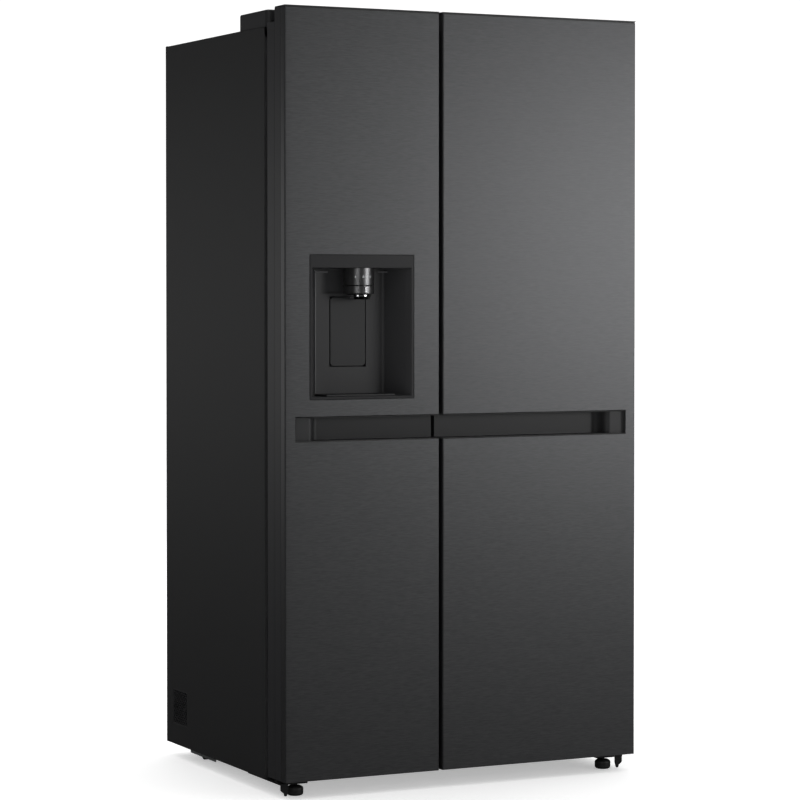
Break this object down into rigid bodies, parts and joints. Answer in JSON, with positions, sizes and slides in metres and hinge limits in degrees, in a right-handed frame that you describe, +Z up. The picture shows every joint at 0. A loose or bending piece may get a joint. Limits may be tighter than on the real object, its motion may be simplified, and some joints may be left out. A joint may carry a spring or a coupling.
{
  "type": "side-by-side refrigerator",
  "caption": "Free-standing side-by-side refrigerator with a dispenser niche in the left door, recessed handles, drawers, shelves and door bins.",
  "frame": {"origin": "on the floor, under the middle of the object's box", "axes": "+X to the right of someone facing the doors, +Y from the doors to the back, +Z up"},
  "size_m": [0.913, 0.735, 1.79],
  "materials": {
    "black_steel": "brushed steel with a dark tinted clear coat",
    "case_paint": "fine-textured black paint",
    "black_plastic": "satin moulded plastic",
    "grey_plastic": "satin moulded plastic, dark grey",
    "white_plastic": "vacuum-formed or moulded, satin gloss",
    "foamed_panel": null,
    "foam": null,
    "clear_plastic": "clear moulded plastic",
    "shelf_glass": "tempered glass in a plastic rim",
    "seal_rubber": "soft dark grey seal",
    "dark_chrome": "dark chrome plating",
    "galvanised_steel": "galvanised sheet",
    "machine_paint": "black enamel"
  },
  "bodies": {
    "cabinet": {"back_panel": "galvanised_steel", "base_frame": "galvanised_steel", "cabinet_foam": "foam", "case_side_left": "case_paint", "case_side_right": "case_paint", "case_top": "case_paint", "compressor": "machine_paint", "evaporator_cover": "white_plastic", "freezer_liner": "white_plastic", "freezer_shelf_1": "shelf_glass", "freezer_shelf_2": "shelf_glass", "fridge_liner": "white_plastic", "fridge_shelf_1": "shelf_glass", "fridge_shelf_2": "shelf_glass", "fridge_shelf_3": "shelf_glass", "hinge_cover_left": "black_plastic", "hinge_cover_right": "black_plastic", "lower_hinge_left": "galvanised_steel", "lower_hinge_right": "galvanised_steel", "rear_cover": "case_paint", "rear_spacer": "black_plastic", "upper_hinge_left": "galvanised_steel", "upper_hinge_right": "galvanised_steel"},
    "freezer_door": {"freezer_door_skin": "black_steel", "freezer_door_foam_lower": "foamed_panel", "freezer_door_foam_upper": "foamed_panel", "freezer_door_rim": "white_plastic", "freezer_door_cap": "black_plastic", "freezer_door_gasket": "seal_rubber", "freezer_handle_pocket": "grey_plastic", "dispenser_housing": "black_plastic", "dispenser_nozzle": "dark_chrome", "drip_tray": "grey_plastic", "ice_bin": "clear_plastic", "ice_maker_body": "white_plastic", "freezer_door_bin": "clear_plastic"},
    "fridge_door": {"fridge_door_skin": "black_steel", "fridge_door_foam": "foamed_panel", "fridge_door_rim": "white_plastic", "fridge_door_cap": "black_plastic", "fridge_door_gasket": "seal_rubber", "fridge_handle_pocket": "grey_plastic", "fridge_door_bin_1": "clear_plastic", "fridge_door_bin_2": "clear_plastic", "fridge_door_bin_3": "clear_plastic"},
    "selector": {"dispenser_selector": "dark_chrome"},
    "pad": {"dispenser_pad": "grey_plastic"},
    "flap": {"ice_flap": "black_plastic"},
    "auger": {"ice_auger": "galvanised_steel"},
    "ice_tray": {"ice_maker_tray": "white_plastic"},
    "freezer_drawer_upper": {"freezer_drawer_upper": "clear_plastic"},
    "freezer_drawer_lower": {"freezer_drawer_lower": "clear_plastic"},
    "crisper_upper": {"crisper_upper": "clear_plastic"},
    "crisper_lower": {"crisper_lower": "clear_plastic"},
    "condenser_fan": {"condenser_fan": "black_plastic"},
    "evaporator_fan": {"evaporator_fan": "black_plastic"},
    "foot_left": {"foot_left": "black_plastic"},
    "foot_right": {"foot_right": "black_plastic"},
    "roller_left": {"roller_left": "black_plastic"},
    "roller_right": {"roller_right": "black_plastic"}
  },
  "joints": [
    {"name": "freezer_door_swing", "type": "hinge", "parent": "cabinet", "child": "freezer_door", "pos_m": [-0.4335, -0.2955, 0.9], "axis": [0, 0, -1], "range_deg": [0, 115]},
    {"name": "fridge_door_swing", "type": "hinge", "parent": "cabinet", "child": "fridge_door", "pos_m": [0.4335, -0.2955, 0.9], "axis": [0, 0, 1], "range_deg": [0, 115]},
    {"name": "freezer_drawer_upper_slide", "type": "slide", "parent": "cabinet", "child": "freezer_drawer_upper", "axis": [0, -1, 0], "range_m": [0, 0.2]},
    {"name": "freezer_drawer_lower_slide", "type": "slide", "parent": "cabinet", "child": "freezer_drawer_lower", "axis": [0, -1, 0], "range_m": [0, 0.14]},
    {"name": "crisper_upper_slide", "type": "slide", "parent": "cabinet", "child": "crisper_upper", "axis": [0, -1, 0], "range_m": [0, 0.2]},
    {"name": "crisper_lower_slide", "type": "slide", "parent": "cabinet", "child": "crisper_lower", "axis": [0, -1, 0], "range_m": [0, 0.14]},
    {"name": "selector_turn", "type": "hinge", "parent": "freezer_door", "child": "selector", "pos_m": [-0.254, -0.3275, 1.15], "axis": [0, 0, 1], "range_deg": [-35, 35]},
    {"name": "pad_swing", "type": "hinge", "parent": "freezer_door", "child": "pad", "pos_m": [-0.266, -0.291, 1.13], "axis": [1, 0, 0], "range_deg": [0, 4], "stiffness_Nm_per_rad": 0.8},
    {"name": "flap_swing", "type": "hinge", "parent": "freezer_door", "child": "flap", "pos_m": [-0.254, -0.3035, 1.28], "axis": [1, 0, 0], "range_deg": [0, 70]},
    {"name": "auger_spin", "type": "hinge", "parent": "freezer_door", "child": "auger", "pos_m": [-0.254, -0.2153, 1.331], "axis": [1, 0, 0], "continuous": true},
    {"name": "tray_turn", "type": "hinge", "parent": "freezer_door", "child": "ice_tray", "pos_m": [-0.245, -0.2153, 1.599], "axis": [1, 0, 0], "range_deg": [0, 160]},
    {"name": "condenser_fan_spin", "type": "hinge", "parent": "cabinet", "child": "condenser_fan", "pos_m": [0.02, 0.245, 0.15], "axis": [1, 0, 0], "continuous": true},
    {"name": "evaporator_fan_spin", "type": "hinge", "parent": "cabinet", "child": "evaporator_fan", "pos_m": [-0.2455, 0.266, 0.86], "axis": [0, 1, 0], "continuous": true},
    {"name": "foot_left_turn", "type": "hinge", "parent": "cabinet", "child": "foot_left", "pos_m": [-0.405, -0.3055, 0.018], "axis": [0, 0, 1], "continuous": true},
    {"name": "foot_right_turn", "type": "hinge", "parent": "cabinet", "child": "foot_right", "pos_m": [0.405, -0.3055, 0.018], "axis": [0, 0, 1], "continuous": true},
    {"name": "roller_left_spin", "type": "hinge", "parent": "cabinet", "child": "roller_left", "pos_m": [-0.4, 0.2325, 0.015], "axis": [1, 0, 0], "continuous": true},
    {"name": "roller_right_spin", "type": "hinge", "parent": "cabinet", "child": "roller_right", "pos_m": [0.4, 0.2325, 0.015], "axis": [1, 0, 0], "continuous": true}
  ],
  "couplings": [
    {"joint": "freezer_drawer_upper_slide", "follows": "freezer_door_swing", "m_per_rad": 0.099644},
    {"joint": "freezer_drawer_lower_slide", "follows": "freezer_door_swing", "m_per_rad": 0.069751},
    {"joint": "crisper_upper_slide", "follows": "fridge_door_swing", "m_per_rad": 0.099644},
    {"joint": "crisper_lower_slide", "follows": "fridge_door_swing", "m_per_rad": 0.069751},
    {"joint": "flap_swing", "follows": "pad_swing", "ratio": 17.5}
  ]
}
